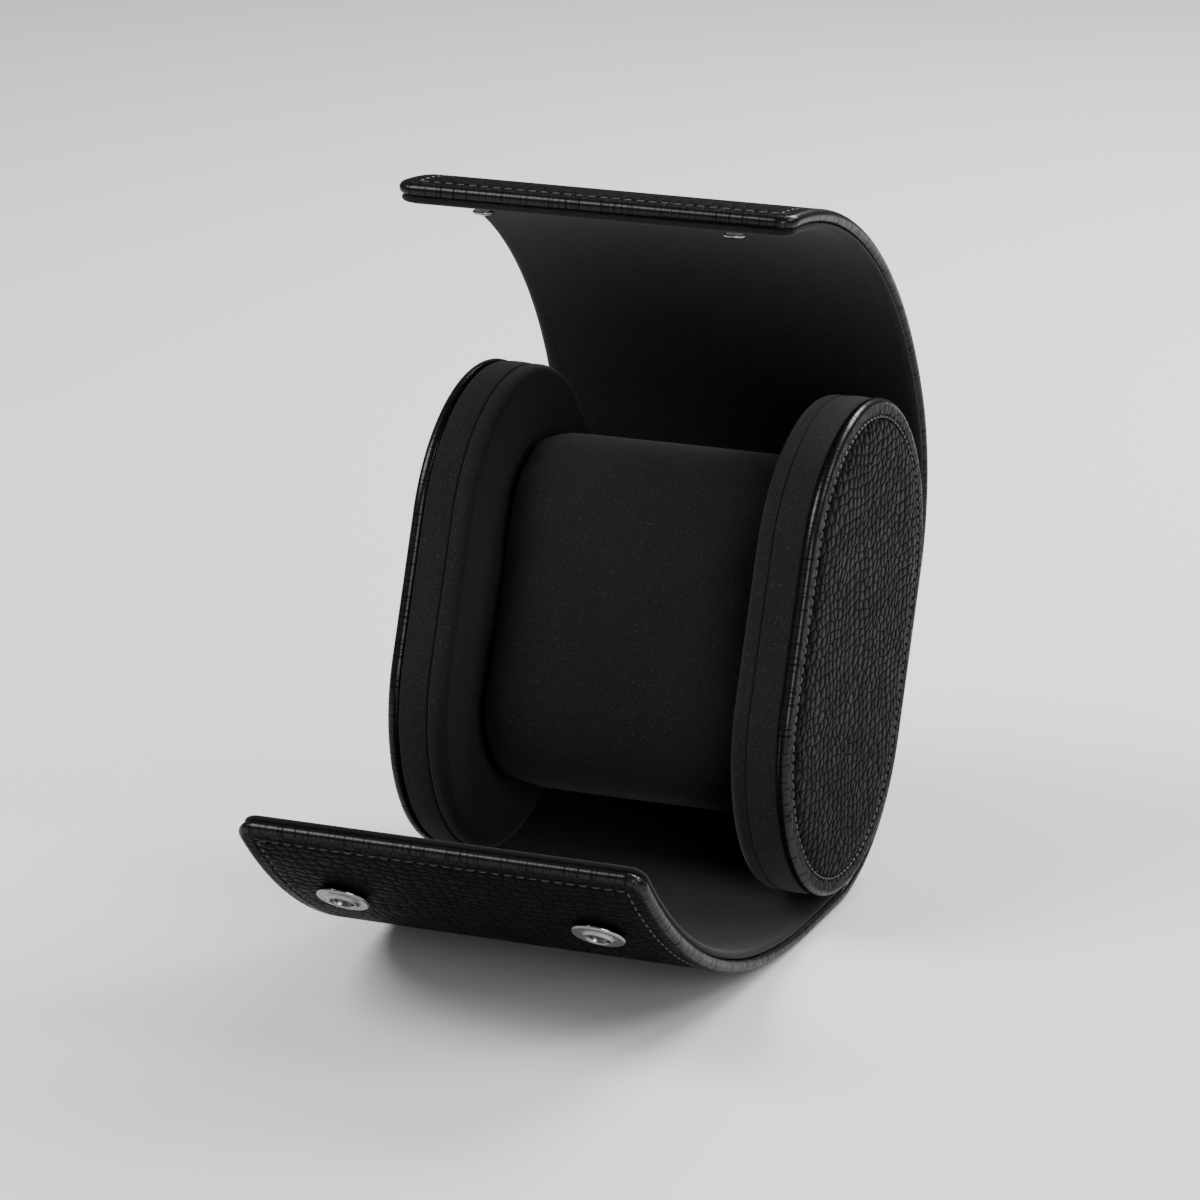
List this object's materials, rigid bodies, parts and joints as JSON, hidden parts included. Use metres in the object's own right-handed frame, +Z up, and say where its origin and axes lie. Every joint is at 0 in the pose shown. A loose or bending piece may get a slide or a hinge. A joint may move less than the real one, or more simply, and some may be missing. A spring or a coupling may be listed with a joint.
{
  "type": "watch travel case",
  "caption": "Open watch travel case with padded end panels, a wrap-around flap closed by snaps, and a pull-out cushion.",
  "frame": {"origin": "on the table under the middle of the object's box, case standing open", "axes": "+X across the case from the left end panel to the right one, +Y from the front of the lower flap to the back, +Z up from the table"},
  "size_m": [0.0848, 0.161, 0.1487],
  "materials": {
    "leather": "satin",
    "suede": "matte",
    "board": "matte",
    "foam": "matte",
    "nickel": "polished"
  },
  "bodies": {
    "case": {"face_leather_left": "leather", "face_board_left": "board", "side_band_left": "suede", "inner_cup_left": "suede", "foam_core_left": "foam", "face_leather_right": "leather", "face_board_right": "board", "side_band_right": "suede", "inner_cup_right": "suede", "foam_core_right": "foam", "back_leather": "leather", "back_board": "board", "back_lining": "suede"},
    "upper_flap_1": {"upper_flap_1_leather": "leather", "upper_flap_1_board": "board", "upper_flap_1_lining": "suede"},
    "upper_flap_2": {"upper_flap_2_leather": "leather", "upper_flap_2_board": "board", "upper_flap_2_lining": "suede"},
    "upper_flap_3": {"upper_flap_3_leather": "leather", "upper_flap_3_board": "board", "upper_flap_3_lining": "suede"},
    "upper_flap_4": {"upper_flap_4_leather": "leather", "upper_flap_4_board": "board", "upper_flap_4_lining": "suede"},
    "upper_flap_5": {"upper_flap_5_leather": "leather", "upper_flap_5_board": "board", "upper_flap_5_lining": "suede", "snap_stud_left": "nickel", "snap_stud_right": "nickel", "stud_rivet_left": "nickel", "stud_rivet_right": "nickel"},
    "lower_flap_1": {"lower_flap_1_leather": "leather", "lower_flap_1_board": "board", "lower_flap_1_lining": "suede"},
    "lower_flap_2": {"lower_flap_2_leather": "leather", "lower_flap_2_board": "board", "lower_flap_2_lining": "suede"},
    "lower_flap_3": {"lower_flap_3_leather": "leather", "lower_flap_3_board": "board", "lower_flap_3_lining": "suede"},
    "lower_flap_4": {"lower_flap_4_leather": "leather", "lower_flap_4_board": "board", "lower_flap_4_lining": "suede"},
    "lower_flap_5": {"lower_flap_5_leather": "leather", "lower_flap_5_board": "board", "lower_flap_5_lining": "suede"},
    "lower_flap_6": {"lower_flap_6_leather": "leather", "lower_flap_6_board": "board", "lower_flap_6_lining": "suede", "snap_socket_left": "nickel", "snap_socket_right": "nickel", "socket_rivet_left": "nickel", "socket_rivet_right": "nickel"},
    "cushion": {"cushion_cover": "suede", "cushion_foam": "foam", "cushion_end_left": "suede", "cushion_end_right": "suede"}
  },
  "joints": [
    {"name": "upper_flap_1_hinge", "type": "hinge", "parent": "case", "child": "upper_flap_1", "pos_m": [0, 0.07508, 0.06351], "axis": [1, 0, 0], "range_deg": [-1.39, 8.22]},
    {"name": "upper_flap_2_hinge", "type": "hinge", "parent": "upper_flap_1", "child": "upper_flap_2", "pos_m": [0, 0.07502, 0.08628], "axis": [1, 0, 0], "range_deg": [-2.11, 12.52]},
    {"name": "upper_flap_3_hinge", "type": "hinge", "parent": "upper_flap_2", "child": "upper_flap_3", "pos_m": [0, 0.06473, 0.10784], "axis": [1, 0, 0], "range_deg": [-2.67, 15.85]},
    {"name": "upper_flap_4_hinge", "type": "hinge", "parent": "upper_flap_3", "child": "upper_flap_4", "pos_m": [0, 0.04861, 0.12551], "axis": [1, 0, 0], "range_deg": [-2.9, 17.25]},
    {"name": "upper_flap_5_hinge", "type": "hinge", "parent": "upper_flap_4", "child": "upper_flap_5", "pos_m": [0, 0.02817, 0.13793], "axis": [1, 0, 0], "range_deg": [-2.81, 16.64]},
    {"name": "lower_flap_1_hinge", "type": "hinge", "parent": "case", "child": "lower_flap_1", "pos_m": [0, 0.02542, 0.004], "axis": [-1, 0, 0], "range_deg": [0, 7.51]},
    {"name": "lower_flap_2_hinge", "type": "hinge", "parent": "lower_flap_1", "child": "lower_flap_2", "pos_m": [0, 0.01592, 0.004], "axis": [-1, 0, 0], "range_deg": [0, 17.5]},
    {"name": "lower_flap_3_hinge", "type": "hinge", "parent": "lower_flap_2", "child": "lower_flap_3", "pos_m": [0, 0.00592, 0.0041], "axis": [-1, 0, 0], "range_deg": [0, 15.01]},
    {"name": "lower_flap_4_hinge", "type": "hinge", "parent": "lower_flap_3", "child": "lower_flap_4", "pos_m": [0, -0.00504, 0.00499], "axis": [-1, 0, 0], "range_deg": [0, 13.51]},
    {"name": "lower_flap_5_hinge", "type": "hinge", "parent": "lower_flap_4", "child": "lower_flap_5", "pos_m": [0, -0.01687, 0.00702], "axis": [-1, 0, 0], "range_deg": [0, 13.51]},
    {"name": "lower_flap_6_hinge", "type": "hinge", "parent": "lower_flap_5", "child": "lower_flap_6", "pos_m": [0, -0.03029, 0.01094], "axis": [-1, 0, 0], "range_deg": [0, 11.01]},
    {"name": "cushion_slide", "type": "slide", "parent": "case", "child": "cushion", "axis": [0, -0.9298, 0.3681], "range_m": [0, 0.0105]}
  ],
  "couplings": [
    {"joint": "upper_flap_1_hinge", "follows": "upper_flap_4_hinge", "ratio": 0.4759},
    {"joint": "upper_flap_2_hinge", "follows": "upper_flap_4_hinge", "ratio": 0.7252},
    {"joint": "upper_flap_3_hinge", "follows": "upper_flap_4_hinge", "ratio": 0.9183},
    {"joint": "upper_flap_5_hinge", "follows": "upper_flap_4_hinge", "ratio": 0.9641},
    {"joint": "lower_flap_1_hinge", "follows": "lower_flap_2_hinge", "ratio": 0.4286},
    {"joint": "lower_flap_3_hinge", "follows": "lower_flap_2_hinge", "ratio": 0.8571},
    {"joint": "lower_flap_4_hinge", "follows": "lower_flap_2_hinge", "ratio": 0.7714},
    {"joint": "lower_flap_5_hinge", "follows": "lower_flap_2_hinge", "ratio": 0.7714},
    {"joint": "lower_flap_6_hinge", "follows": "lower_flap_2_hinge", "ratio": 0.6286}
  ]
}
